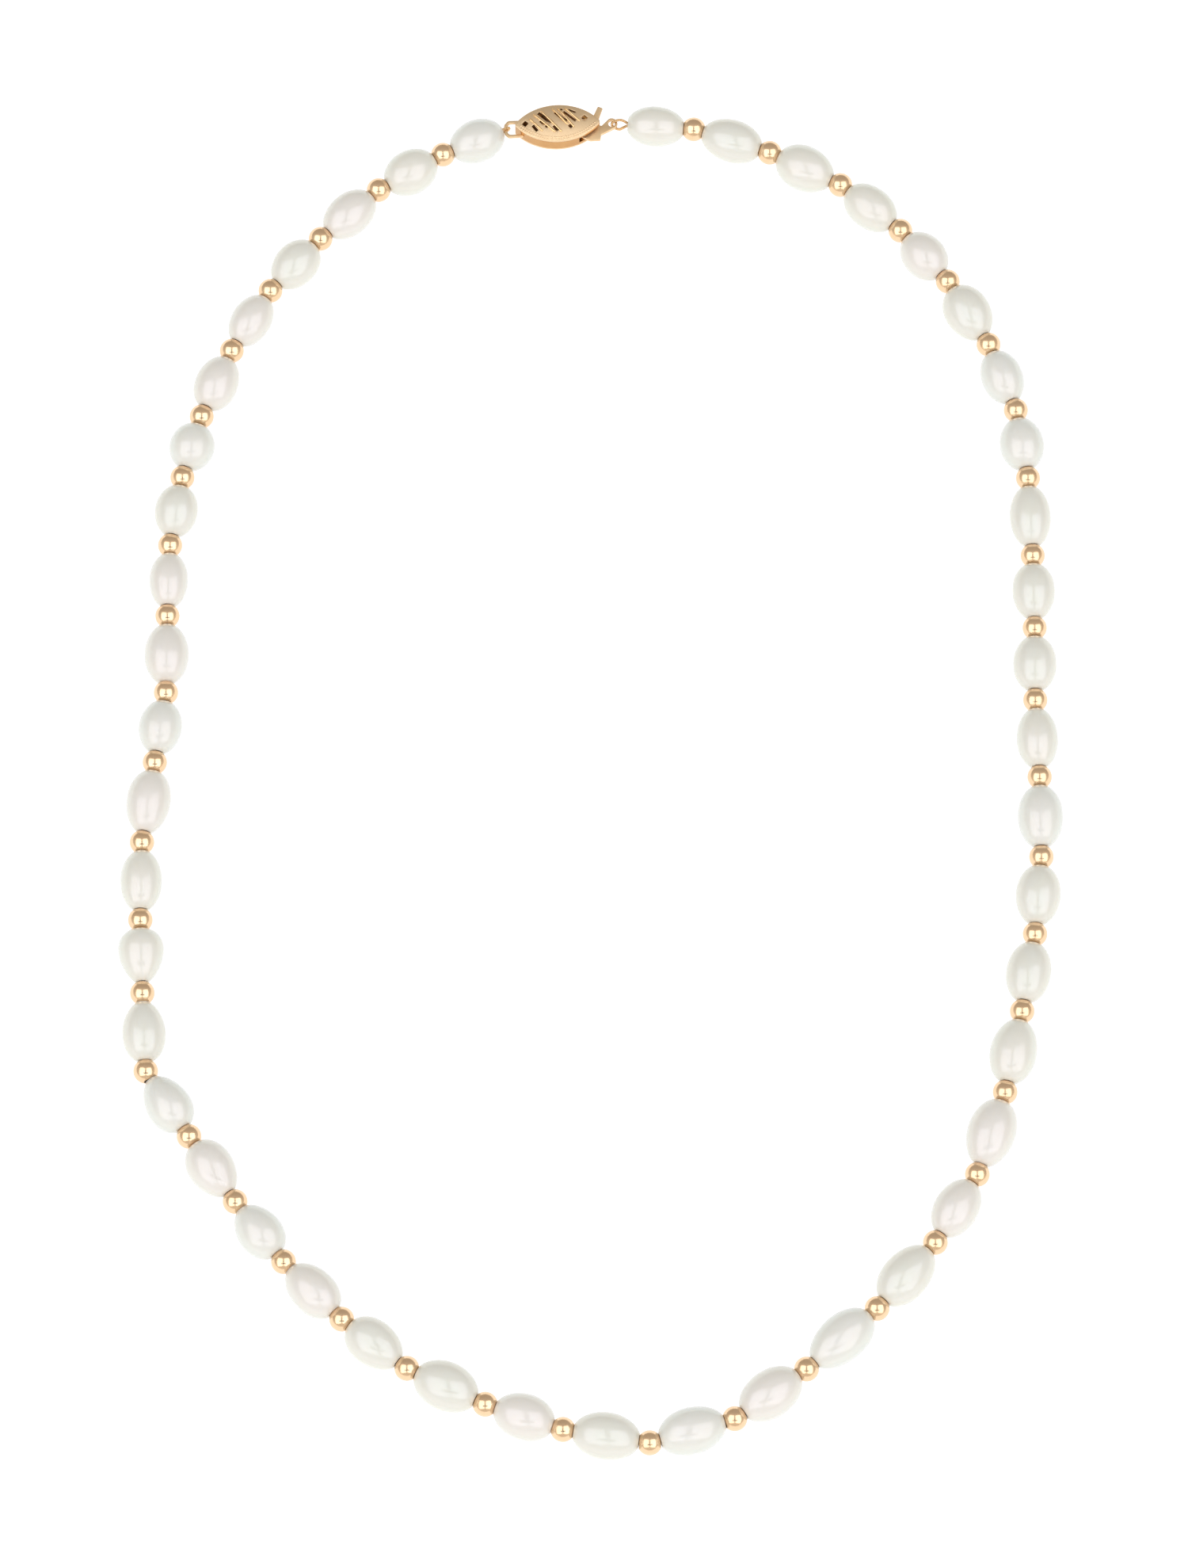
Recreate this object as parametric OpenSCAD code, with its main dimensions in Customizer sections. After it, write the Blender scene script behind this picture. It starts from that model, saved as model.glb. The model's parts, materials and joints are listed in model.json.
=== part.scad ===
// Single-strand necklace: oval pearls with a hollow gold bead between each pair of them,
// strung on one thread and closed by a marquise filigree clasp with a sprung tongue.
// Millimetres. +Z is up from the surface the strand lies on, +Y runs from the lowest pearl
// to the clasp, and the origin is under the middle of the loop.
// Pearls are counted clockwise from the hook: pearl 1 is beside the hook's eye and
// pearl 45 is beside the clasp's end loop. Bead k lies between pearls k and k + 1.

/* [Pearls] */
// Usual length of a pearl, from the rim of one bead seat to the other
pearl_l = 7.3; // [6:0.1:9]
// Usual diameter of a pearl
pearl_d = 5.4; // [4.4:0.1:6.8]
// Diameter of the worn seat that a bead nests in at each end of a pearl
seat_d = 1.7; // [1.3:0.1:2]

/* [Gold beads] */
// Diameter of a bead
bead_d = 3; // [2.5:0.1:3.8]
// Wall of the hollow bead
bead_wall = 0.25; // [0.15:0.05:0.4]
// Gap between a bead and the seat that turns about it
seat_gap = 0.04; // [0.02:0.01:0.1]

/* [Thread] */
// Diameter of the stringing thread
thread_d = 0.4; // [0.3:0.05:0.5]
// Space around the thread in the hole drilled through a pearl
drill_gap = 0.2; // [0.1:0.05:0.25]
// Angle at which the thread may lean in a bead's hole
thread_lean = 15.5; // [15:0.5:18]
// Diameter of the fine wire coil that guards the thread at the clasp
guard_d = 0.26; // [0.2:0.02:0.3]

/* [Loop] */
// Width that the loop is laid out to, as a percentage of its usual width
lay_width = 100; // [80:1:125]

/* [Clasp] */
// Length of the clasp's box
clasp_l = 10.6; // [9.5:0.1:14]
// Width of the clasp's box
clasp_w = 5; // [4.6:0.1:6.5]
// Height of the side wall between the back plate and the cover
wall_h = 1.9; // [1.7:0.1:2.6]
// Thickness of the side wall
wall_t = 0.3; // [0.2:0.05:0.4]
// Thickness of the flat back plate
back_t = 0.3; // [0.2:0.05:0.5]
// Thickness of the filigree cover at its centre
cover_t = 0.65; // [0.5:0.05:0.9]
// Thickness of the cover at its rim
cover_rim_t = 0.25; // [0.15:0.05:0.35]
// Thickness of the flat hook plate
plate_t = 0.4; // [0.3:0.05:0.5]
// Thickness of the sprung leaf
leaf_t = 0.2; // [0.15:0.05:0.25]
// How far the leaf is sprung open, in degrees
leaf_lift = 2.6; // [2.2:0.1:3]
// Clearance around whatever slides inside the clasp
slide_gap = 0.1; // [0.05:0.01:0.15]
// Diameter of the post that joins the cover to the back plate
post_d = 0.8; // [0.6:0.1:1]
// Hole in the hook's eye
eye_d = 0.84; // [0.7:0.02:1]

/* [Hidden] */
$fn = 48;
PEARL = "#ece7dd";
GOLD = "#e1b77c";
SILK = "#efeae0";

// The strand's stringing chart: for each pearl, its length and its diameter as tenths of a
// millimetre over or under the usual size, and how much fuller its far end is, in hundredths.
CHART = [
    [-3, -3, 0], [2, 0, 4], [0, 3, -4], [-2, -1, 0], [-8, 0, 3],
    [0, 3, -5], [-5, -2, 0], [-7, 1, 4], [4, -3, 0], [-3, -1, -4],
    [-4, 0, 0], [2, -3, 3], [5, 2, 0], [1, 1, -3], [2, 1, 0],
    [7, 3, 5], [11, 5, -4], [1, 0, 0], [10, 3, 4], [15, 3, -6],
    [7, 4, 0], [7, 3, 3], [6, 3, 0], [-1, 2, -4], [5, 5, 0],
    [1, 2, 8], [2, 1, -8], [-3, 1, -10], [1, 2, 10], [0, 1, -16],
    [1, -1, -8], [-5, 2, 26], [2, -3, 0], [6, 0, 5], [-7, -1, 0],
    [2, 1, -4], [-5, -6, 0], [-8, -1, 3], [-14, 2, 0], [-3, 0, -4],
    [-5, -4, 0], [-5, 0, 4], [-1, -1, 0], [-5, 2, 0], [-5, 0, 0],
];
PEARLS = len(CHART);
BEADS = PEARLS - 1;
MIDDLE = 23;   // the lowest pearl, which the two sides of the strand hang from
SIDES = 11;    // pairs of pearls on each side of it

// Path that the strand is laid along, clockwise from the hook's eye to the end loop.
ROUTE = [
    [2.2, 88], [12.5, 87.2], [30.7, 79.6], [44, 66.5], [52.2, 49.3], [54, 30], [54, 11],
    [54.4, -9.5], [51.8, -29], [46, -50], [34, -66.5], [17, -80.2], [7, -83.3],
    [-3.3, -81.8], [-21.9, -74.4], [-37, -61], [-48.5, -45.4], [-54, -37], [-54.6, -27.3], [-55, -7.7],
    [-52.4, 11.7], [-52.2, 31.2], [-48.5, 48.5], [-40.3, 65.2], [-27, 78.8],
    [-18.9, 83.7], [-11.1, 87.1],
];

// ---- sizes that follow from the chart ----
bead_r = bead_d / 2;
seat_r = bead_r + seat_gap;
rim = sqrt(seat_r * seat_r - seat_d * seat_d / 4);   // bead centre to the rim of the seat
drill_d = thread_d + 2 * drill_gap;
hole_d = thread_d + bead_d * sin(thread_lean);
function long(k) = pearl_l + CHART[k - 1][0] / 10;
function wide(k) = pearl_d + CHART[k - 1][1] / 10;
function fuller(k) = CHART[k - 1][2] / 100;

// ---- the clasp's own layout, about its middle, with the hook leaving along +X ----
plate_z = -0.25;                      // middle of the hook plate
plate_top = plate_z + plate_t / 2;
wall_low = -1;
wall_high = wall_low + wall_h;
tongue_w = 2;                         // width of the tongue inside the box
tip_x = -clasp_l / 2 + 1.9;           // inner end of the tongue
post_x = tip_x + 1.9;
fork_w = post_d + 2 * slide_gap;      // the slot in the tongue that straddles the post
mouth_x = clasp_l / 2 - 2.65;         // where the mouth for the tongue begins
eye_w = eye_d + 0.66;                 // outside diameter of the eye
eye_x = clasp_l / 2 + 1.5;
eye_y = 0.17;
bar_x = -clasp_l / 2 - 1.2;           // middle of the end loop's outer bar
bar_y = -0.1;
bar_w = 0.4;
bar_t = 0.36;
guard_r = 0.44;                       // bend of the guard wire round the bar
socket_d = 2 * guard_r + guard_d + 0.1;
guard_in = 0.6;                       // how deep the guard wires reach into the end pearls
bar_gap = 0.5;                        // middle of the bar to the mouth of pearl 45
eye_gap = 2.05;                       // middle of the eye to the mouth of pearl 1

// ---- laying the strand on its route ----
// A smooth closed curve through the route, with u running from 0 to the number of points.
n = len(ROUTE);
function knot(i) = let (p = ROUTE[(i % n + n) % n]) [p.x * lay_width / 100, p.y];
function curve(u) = let (i = floor(u), t = u - i, a = knot(i - 1), b = knot(i), c = knot(i + 1),
    d = knot(i + 2)) (2 * b + (c - a) * t + (2 * a - 5 * b + 4 * c - d) * t * t
    + (3 * b - a - 3 * c + d) * t * t * t) / 2;
function slope(u) = let (i = floor(u), t = u - i, a = knot(i - 1), b = knot(i), c = knot(i + 1),
    d = knot(i + 2)) ((c - a) + 2 * (2 * a - 5 * b + 4 * c - d) * t
    + 3 * (3 * b - a - 3 * c + d) * t * t) / 2;
// The place on the curve whose straight distance from p is exactly c.
function reach(u, p, c, tries) = tries == 0 ? u : let (d = curve(u) - p, m = norm(d))
    reach(u - (m - c) * m / (d * slope(u)), p, c, tries - 1);
function stride(u, c) = reach(u + c / norm(slope(u)), curve(u), c, 6);

// Heights of the thread: over each bead it clears the larger of the two pearls beside it.
function lie(k) = max(wide(k), wide(k + 1)) / 2;
clasp_z = (lie(1) + lie(BEADS)) / 2;
height = [clasp_z, for (k = [1:BEADS]) lie(k), clasp_z];
// Straight distance from each bead centre to the next, with a clasp pivot at each end.
function span(k) = long(k) + (k == 1 ? eye_gap : rim) + (k == PEARLS ? bar_gap : rim);
spans = [for (k = [1:PEARLS]) sqrt(pow(span(k), 2) - pow(height[k] - height[k - 1], 2)),
    norm([eye_x - bar_x, eye_y - bar_y])];
// Strides taken round the curve when it is drawn s times its size, closed by the clasp's own.
function round_trip(s) = [for (i = 0, u = 0; i <= PEARLS + 1;
    u = i > PEARLS ? u : stride(u, spans[i] / s), i = i + 1) u];
function left_over(s) = round_trip(s)[PEARLS + 1] - n;
function closing(s0, e0, s1, e1, tries) = tries == 0 || abs(e1) < 1e-9 ? s1 :
    let (s2 = s1 - e1 * (s1 - s0) / (e1 - e0)) closing(s1, e1, s2, left_over(s2), tries - 1);
size = closing(1, left_over(1), 1.02, left_over(1.02), 12);
laid = [for (u = round_trip(size)) curve(u) * size];

// The middle of the footprint, from each pearl's oval outline.
function half_across(k, axis) = let (d = laid[k] - laid[k - 1], m = norm(d))
    norm([d[axis] / m * long(k) / 2, d[1 - axis] / m * wide(k) / 2]);
function edges(axis, side) = [for (k = [1:PEARLS])
    (laid[k - 1][axis] + laid[k][axis]) / 2 + side * half_across(k, axis)];
top_edge = max(max(edges(1, 1)), laid[0].y + clasp_w / 2);
middle = [(max(edges(0, 1)) + min(edges(0, -1))) / 2, (top_edge + min(edges(1, -1))) / 2];
// Thread points: 0 is the hook's eye, 1 to BEADS are the beads, PEARLS is the end loop's bar.
at = [for (i = [0:PEARLS]) [laid[i].x - middle.x, laid[i].y - middle.y, height[i]]];
clasp_turn = atan2(at[0].y - at[PEARLS].y, at[0].x - at[PEARLS].x)
    - atan2(eye_y - bar_y, eye_x - bar_x);

// ---- shared helpers ----
function unit(v) = v / norm(v);
function two(k) = k < 10 ? str("0", k) : str(k);
function course(pts, i) = unit(unit(pts[min(i + 1, len(pts) - 1)] - pts[max(i - 1, 0)]));
// Normals carried along the path with as little twist as the bends allow.
function carried(pts, start) = [for (i = 0, v = start; i < len(pts);
    i = i + 1, v = i < len(pts) ? let (d = course(pts, i)) unit(v - d * (v * d)) : v)
    let (d = course(pts, i)) unit(v - d * (v * d))];

// A plain tube with a flat end at both ends of its path.
module tube(pts, d, sides, start) {
    v = carried(pts, start);
    rings = [for (i = [0:len(pts) - 1]) let (w = cross(course(pts, i), v[i])) for (j = [0:sides - 1])
        pts[i] + (v[i] * cos(360 * j / sides) + w * sin(360 * j / sides)) * d / 2];
    function id(i, j) = i * sides + j % sides;
    skin = [for (i = [0:len(pts) - 2], j = [0:sides - 1]) each
        [[id(i, j), id(i + 1, j), id(i + 1, j + 1)], [id(i, j), id(i + 1, j + 1), id(i, j + 1)]]];
    last = len(pts) - 1;
    polyhedron(rings, concat(skin, [[for (j = [0:sides - 1]) id(0, j)]],
        [[for (j = [sides - 1:-1:0]) id(last, j)]]), convexity = 10);
}

// Turns +Z to the direction from p to q, starting at p.
module along(p, q) {
    d = unit(q - p);
    translate(p) rotate([0, acos(d.z), atan2(d.y, d.x)]) children();
}

// Puts the clasp's own layout where the strand holds it.
module in_clasp() {
    translate(at[PEARLS]) rotate([0, 0, clasp_turn]) translate([-bar_x, -bar_y, 0]) children();
}

// ---- pearls ----
// Oval outline of a pearl, from end plane to end plane, fuller at the far end.
function oval(k, end_r) = let (l = long(k), r = wide(k) / 2, f = fuller(k),
    full = asin(sqrt(1 - pow(end_r / r, 2))), steps = 16)
    [for (i = [0:steps]) let (a = full * (2 * i / steps - 1))
        [r * cos(a) * (1 + f * sin(a)) / (1 + f * f / 2), l / 2 * (1 + sin(a) / sin(full))]];

module pearl(k) {
    l = long(k);
    outline = oval(k, seat_d / 2);
    from = k == 1 ? eye_gap : rim;
    along(at[k - 1], at[k]) translate([0, 0, from]) difference() {
        rotate_extrude() polygon(concat([[0, 0]], outline, [[0, l]]));
        translate([0, 0, -1]) cylinder(d = drill_d, h = l + 2);
        if (k > 1) translate([0, 0, -rim]) sphere(seat_r);
        if (k < PEARLS) translate([0, 0, l + rim]) sphere(seat_r);
        if (k == PEARLS) translate([0, 0, l - guard_in - 0.1]) cylinder(d = socket_d, h = 2);
    }
}

module pearl_set(ks) {
    color(PEARL) for (k = ks) pearl(k);
}

// ---- gold beads ----
module bead(k) {
    way = unit(at[k] - at[k - 1]) + unit(at[k + 1] - at[k]);
    along(at[k], at[k] + way) difference() {
        sphere(bead_r);
        sphere(bead_r - bead_wall);
        cylinder(d = hole_d, h = 2 * bead_d, center = true);
    }
}

module bead_set(ks) {
    color(GOLD) for (k = ks) bead(k);
}

// ---- thread and guards ----
// The thread runs straight through each pearl and turns inside each bead.
thread_from = at[0] + unit(at[1] - at[0]) * (eye_gap + guard_in);
thread_to = at[PEARLS] + unit(at[BEADS] - at[PEARLS]) * (bar_gap + guard_in);

module stringing_thread() {
    color(SILK) tube([thread_from, for (k = [1:BEADS]) at[k], thread_to], thread_d, 8, [0, 0, 1]);
}

// Guard wire on the hook: two runs out of pearl 1 that part round the open loop, one passing
// over the plate and one under it, and meet in the eye.
module guard_hook() {
    s = eye_gap;
    side = 0.17;
    bow = 0.46;
    lift = plate_t / 2 + guard_d / 2 + 0.14;
    function run(way) = [[s + guard_in, way * side, 0], [s, way * side, 0],
        [s - 0.45, way * (bow - 0.08), way * 0.05], [s - 0.95, way * bow, 0.8 * (plate_z + way * lift)],
        [s - 1.4, way * bow * 0.75, plate_z + way * lift], [0.28, way * 0.16, plate_z + way * lift],
        [0.08, way * 0.04, plate_z + way * lift * 0.6]];
    under = run(-1);
    back = [for (i = [len(under) - 1:-1:0]) under[i]];
    color(GOLD) along_flat(at[0], at[1]) tube(concat(run(1), back), guard_d, 10, [0, 0, 1]);
}

// Guard wire on the clasp: out of pearl 45, round the end loop's bar and back.
module guard_loop() {
    bend = [for (a = [90:22.5:270]) [guard_r * cos(a), 0, guard_r * sin(a)]];
    s = bar_gap + guard_in;
    color(GOLD) along_flat(at[PEARLS], at[BEADS])
        tube(concat([[s, 0, guard_r], [s / 2, 0, guard_r]], bend,
            [[s / 2, 0, -guard_r], [s, 0, -guard_r]]), guard_d, 10, [0, 1, 0]);
}

// Local +X along the strand in plan, keeping +Z up.
module along_flat(p, q) {
    translate(p) rotate([0, 0, atan2(q.y - p.y, q.x - p.x)]) children();
}

// ---- clasp box ----
// Pointed oval between two arcs, with the points blunted.
module marquise(inset) {
    bow = (pow(clasp_l * 1.03 / 2, 2) + pow(clasp_w / 2, 2)) / clasp_w;
    intersection() {
        translate([0, clasp_w / 2 - bow]) circle(bow - inset, $fn = 160);
        translate([0, bow - clasp_w / 2]) circle(bow - inset, $fn = 160);
        square([clasp_l - 2 * inset, clasp_w], center = true);
    }
}

// The openings of the filigree, on a cover of the usual 10.6 by 5: the middle of each one, its
// length and width, and its slant.
OPENINGS = [
    [-4.05, 0.05, 0.62, 0.6, 45], [-2.85, -0.65, 0.95, 0.36, -55], [-1.93, 0, 0.75, 0.26, -45],
    [-1.4, -0.52, 0.34, 0.26, -45], [-1.62, 0.68, 2.1, 0.42, -45], [-0.25, -0.8, 0.85, 0.38, -55],
    [0.42, 0.74, 1.95, 0.4, -45], [1.58, -0.6, 0.5, 0.34, -50], [0.54, 1.78, 0.32, 0.26, -20],
    [1.55, 0.78, 2, 0.32, -42], [1.85, 1.52, 1.05, 0.24, -25], [3.41, 0.5, 0.62, 0.6, 45],
];

module piercing() {
    for (o = OPENINGS) translate([o[0] * clasp_l / 10.6, o[1] * clasp_w / 5]) rotate(o[4])
        square([o[2], o[3]], center = true);
}

// Radius of an arc that falls by drop over half its chord.
function arc_r(half, drop) = (half * half + drop * drop) / (2 * drop);

// Barrel whose crown is the dome of the cover: it falls as far to the rim at the clasp's sides
// as at its tips.
module barrel() {
    fall = cover_t - cover_rim_t;
    across = arc_r(clasp_w / 2, fall);
    lengthwise = arc_r(clasp_l / 2, fall);
    translate([0, 0, wall_high + cover_t - across]) rotate([0, 90, 0]) rotate_extrude($fn = 240)
        intersection() {
            translate([across - lengthwise, 0]) circle(lengthwise, $fn = 480);
            translate([0, -clasp_l]) square([across + 1, 2 * clasp_l]);
        }
}

// Low dome over the marquise, pierced with slots.
module clasp_cover() {
    color(GOLD) in_clasp() difference() {
        intersection() {
            translate([0, 0, wall_high]) linear_extrude(cover_t + 1) marquise(0);
            barrel();
        }
        translate([0, 0, wall_high - 1]) linear_extrude(cover_t + 3) piercing();
    }
}

// Side wall, cut away at the hook's end so that tongue and leaf can pass.
module clasp_wall() {
    sill = plate_z - plate_t / 2 - slide_gap;
    lintel = leaf_top(clasp_l / 2 - 1) + slide_gap / 2;
    color(GOLD) in_clasp() difference() {
        translate([0, 0, wall_low]) linear_extrude(wall_h) difference() {
            marquise(0);
            marquise(wall_t);
        }
        translate([mouth_x, -clasp_w / 2, sill]) cube([clasp_l, clasp_w, lintel - sill]);
    }
}

module clasp_back() {
    color(GOLD) in_clasp() translate([0, 0, wall_low - back_t]) linear_extrude(back_t) marquise(0);
}

module clasp_post() {
    color(GOLD) in_clasp() translate([post_x, 0, wall_low]) cylinder(d = post_d, h = wall_h);
}

// Flat-wire loop soldered to the blunt end of the box.
module end_loop() {
    out = bar_x - bar_w / 2;
    root = -clasp_l / 2 + 0.9;
    color(GOLD) in_clasp() translate([0, bar_y, -bar_t / 2]) linear_extrude(bar_t) difference() {
        polygon([[out, -0.6], [out, 0.6], [out + 0.5, 1.15], [root, 1.25], [root, -1.25],
            [out + 0.5, -1.15]]);
        polygon([[out + bar_w, -0.45], [out + bar_w, 0.45], [out + 0.65, 0.75], [root + 1, 0.75],
            [root + 1, -0.75], [out + 0.65, -0.75]]);
        translate([0, -bar_y]) marquise(0);
    }
}

// ---- hook ----
// Forked tongue with a folded tip, a thumb flag outside the box and an eye for the strand.
module hook_plate() {
    half = tongue_w / 2;
    edge = clasp_l / 2;
    color(GOLD) in_clasp() {
        translate([0, 0, plate_z - plate_t / 2]) linear_extrude(plate_t) difference() {
            union() {
                polygon([[tip_x, half], [tip_x, -half], [edge - 3.1, -half], [edge - 2.2, -1.6],
                    [edge - 1.3, -2], [edge, -2], [edge + 0.1, -1.3], [eye_x + 0.4, eye_y - 0.6],
                    [eye_x - 0.5, eye_y + 0.6], [edge + 0.2, -0.1], [edge - 0.5, 0.4],
                    [edge - 1.6, half]]);
                translate([eye_x, eye_y]) circle(d = eye_w);
            }
            translate([eye_x, eye_y]) circle(d = eye_d);
            translate([tip_x - 1, -fork_w / 2]) square([post_x - tip_x + 1, fork_w]);
            translate([post_x, 0]) circle(d = fork_w);
        }
        // The strip's fold: a wall on each prong that rises from the tongue's tip to the leaf.
        for (side = [0, 1]) mirror([0, side, 0]) translate([tip_x, fork_w / 2, plate_top])
            cube([0.25, leaf_half - fork_w / 2, leaf_gap + leaf_t]);
    }
}

// ---- sprung leaf ----
leaf_gap = 0.1;                        // leaf above the tongue beside the fold
leaf_half = tongue_w / 2 - 0.1;
leaf_x = tip_x + 0.3;
leaf_z = plate_top + leaf_gap;
function leaf_top(x) = leaf_z + (x - leaf_x) * tan(leaf_lift) + leaf_t / cos(leaf_lift);

// Forked like the tongue, with a step that catches inside the mouth and a thumb tab outside.
module spring_leaf() {
    half = leaf_half;
    edge = clasp_l / 2;
    catch_x = edge - 1.9;
    color(GOLD) in_clasp() translate([leaf_x, 0, leaf_z]) rotate([0, -leaf_lift, 0])
        translate([-leaf_x, 0, 0]) {
            linear_extrude(leaf_t) difference() {
                polygon([[leaf_x, half], [leaf_x, -half], [catch_x + 0.5, -half + 0.2],
                    [catch_x + 0.6, 0], [edge - 0.3, 0], [edge + 0.5, 2], [edge - 0.1, 2.3],
                    [edge - 0.9, 0.7], [catch_x + 0.5, half - 0.2]]);
                translate([leaf_x - 1, -fork_w / 2]) square([post_x - leaf_x + 1, fork_w]);
                translate([post_x, 0]) circle(d = fork_w);
            }
            translate([catch_x, -half + 0.3, leaf_t]) cube([0.45, 2 * half - 0.6, 0.2]);
        }
}

// ---- nodes ----
function right_pearls(k) = [MIDDLE + 1 - 2 * k, MIDDLE - 2 * k];
function left_pearls(k) = [MIDDLE - 1 + 2 * k, MIDDLE + 2 * k];
function right_beads(k) = [for (b = [MIDDLE - 2 * k, MIDDLE - 1 - 2 * k]) if (b > 0) b];
function left_beads(k) = [for (b = [MIDDLE - 1 + 2 * k, MIDDLE + 2 * k]) if (b <= BEADS) b];

pearl_set([MIDDLE]);  // pearl_centre
bead_set([MIDDLE - 1, MIDDLE]);  // beads_centre
for (k = [1:SIDES]) {
    pearl_set(right_pearls(k));
    bead_set(right_beads(k));
    pearl_set(left_pearls(k));
    bead_set(left_beads(k));
}
stringing_thread();
guard_hook();
guard_loop();
clasp_cover();
clasp_wall();
clasp_back();
clasp_post();
end_loop();
hook_plate();
spring_leaf();
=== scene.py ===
"""Looks of a single-strand pearl necklace: oval pearls, hollow gold beads, silk and a clasp.

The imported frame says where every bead, pearl and clasp pivot is. The classes here build the
finer pieces around those places: lathed pearls with worn seats, folded gold beads, plied silk,
coiled bullion wire and a pierced, domed clasp, each with the finish of its real material.
Sizes in the classes are in millimetres, and meshes are written in metres.
"""

import json
import logging
import math
import random
from collections.abc import Callable, Sequence
from dataclasses import dataclass, field
from enum import Enum

import bmesh
import bpy
import numpy as np
from mathutils import Matrix, Vector, noise
from mathutils.geometry import delaunay_2d_cdt


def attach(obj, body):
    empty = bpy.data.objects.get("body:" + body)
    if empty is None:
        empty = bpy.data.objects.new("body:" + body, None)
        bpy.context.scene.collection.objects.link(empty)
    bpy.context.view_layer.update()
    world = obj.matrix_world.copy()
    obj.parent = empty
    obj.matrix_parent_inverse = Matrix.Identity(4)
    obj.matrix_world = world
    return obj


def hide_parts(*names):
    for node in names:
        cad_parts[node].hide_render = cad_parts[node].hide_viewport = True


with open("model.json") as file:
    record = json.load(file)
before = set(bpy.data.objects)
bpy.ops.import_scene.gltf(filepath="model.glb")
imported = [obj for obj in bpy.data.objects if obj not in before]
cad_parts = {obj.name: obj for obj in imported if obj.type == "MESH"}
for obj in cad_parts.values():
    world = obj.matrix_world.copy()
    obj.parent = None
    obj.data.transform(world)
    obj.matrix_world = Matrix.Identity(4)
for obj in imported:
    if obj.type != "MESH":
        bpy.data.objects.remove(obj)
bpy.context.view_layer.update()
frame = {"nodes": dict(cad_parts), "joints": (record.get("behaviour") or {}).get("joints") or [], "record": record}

MM = 0.001
log = logging.getLogger("necklace")

Point2 = tuple[float, float]
Point3 = tuple[float, float, float]
Span = tuple[float, float]
Loop = list[Point2]
MeshData = tuple[list[Point3], list[tuple[int, ...]]]


# ---------------------------------------------------------------- colour and nodes


def linear(hex_colour: str) -> tuple[float, float, float, float]:
    """Turns an sRGB hex colour to linear RGBA.

    Args:
        hex_colour: Colour such as "#e4ddd0".

    Returns:
        Red, green, blue and alpha, ready for a shader socket.
    """
    parts = [int(hex_colour[i : i + 2], 16) / 255 for i in (1, 3, 5)]
    rgb = [c / 12.92 if c <= 0.04045 else ((c + 0.055) / 1.055) ** 2.4 for c in parts]
    return (rgb[0], rgb[1], rgb[2], 1.0)


def add_node(
    tree: bpy.types.NodeTree,
    kind: str,
    inputs: dict[str | int, object] | None = None,
    **settings: object,
) -> bpy.types.Node:
    """Adds one shader node, with its settings and with its inputs set or linked.

    Args:
        tree: Node tree that takes the node.
        kind: Node type without its "ShaderNode", such as "TexNoise".
        inputs: Input name or number to a value, or to the output socket it is fed by.
        **settings: Properties of the node itself.

    Returns:
        The new node.
    """
    node = tree.nodes.new("ShaderNode" + kind)
    for name, value in settings.items():
        setattr(node, name, value)
    for key, value in (inputs or {}).items():
        if isinstance(value, bpy.types.NodeSocket):
            tree.links.new(value, node.inputs[key])
        else:
            node.inputs[key].default_value = value
    return node


def new_material(name: str) -> tuple[bpy.types.Material, bpy.types.NodeTree]:
    """Makes an empty node material.

    Args:
        name: Name of the finish.

    Returns:
        The material and its node tree.
    """
    material = bpy.data.materials.new(name)
    material.use_nodes = True
    material.node_tree.nodes.clear()
    return material, material.node_tree


def finish_shader(tree: bpy.types.NodeTree, shader: bpy.types.Node) -> None:
    """Links a shader to the material's output."""
    add_node(tree, "OutputMaterial", {"Surface": shader.outputs[0]})


# ---------------------------------------------------------------- finishes


@dataclass(frozen=True)
class Nacre:
    """Cultured pearl nacre, grown in thin layers and tumbled to a soft lustre.

    The layers give the eye a broad soft sheen with a sharper skin over it, a faint overtone
    where they interfere, and light that spreads a little under the surface.
    """

    name: str
    body: str
    cream: str
    film: float
    # A cloud of colour is about a third of a pearl across.
    patch: float = 2.6
    # The steps between layers are under 0.01 mm; they are drawn coarser, so that they show.
    layer: float = 0.35
    sheen: Span = (0.26, 0.36)
    relief: float = 0.02

    def make(self) -> bpy.types.Material:
        """Builds the material."""
        material, tree = new_material(self.name)
        place = add_node(tree, "TexCoord").outputs["Object"]
        own = add_node(tree, "ObjectInfo").outputs["Random"]
        spot = add_node(tree, "VectorMath", {0: place, 1: own}, operation="ADD").outputs[0]
        clouds = add_node(
            tree, "TexNoise", {"Vector": spot, "Scale": 1 / (self.patch * MM), "Detail": 2.0}
        )
        tint = add_node(
            tree,
            "Mix",
            {"Factor": clouds.outputs["Fac"], 6: linear(self.body), 7: linear(self.cream)},
            data_type="RGBA",
        )
        skin = add_node(
            tree, "TexNoise", {"Vector": spot, "Scale": 1 / (self.layer * MM), "Detail": 3.0}
        ).outputs["Fac"]
        lustre = add_node(
            tree, "MapRange", {"Value": skin, "To Min": self.sheen[0], "To Max": self.sheen[1]}
        )
        ripple = add_node(
            tree, "Bump", {"Height": skin, "Strength": 0.03, "Distance": self.relief * MM}
        )
        shader = add_node(
            tree,
            "BsdfPrincipled",
            {
                "Base Color": tint.outputs[2],
                "Roughness": lustre.outputs[0],
                "Normal": ripple.outputs[0],
                "IOR": 1.56,
                "Subsurface Weight": 0.35,
                "Subsurface Radius": (1.0, 0.85, 0.7),
                "Subsurface Scale": 0.9 * MM,
                "Coat Weight": 1.0,
                "Coat Roughness": 0.13,
                "Coat IOR": 1.6,
                "Thin Film Thickness": self.film,
                "Thin Film IOR": 1.5,
            },
        )
        finish_shader(tree, shader)
        return material


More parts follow.
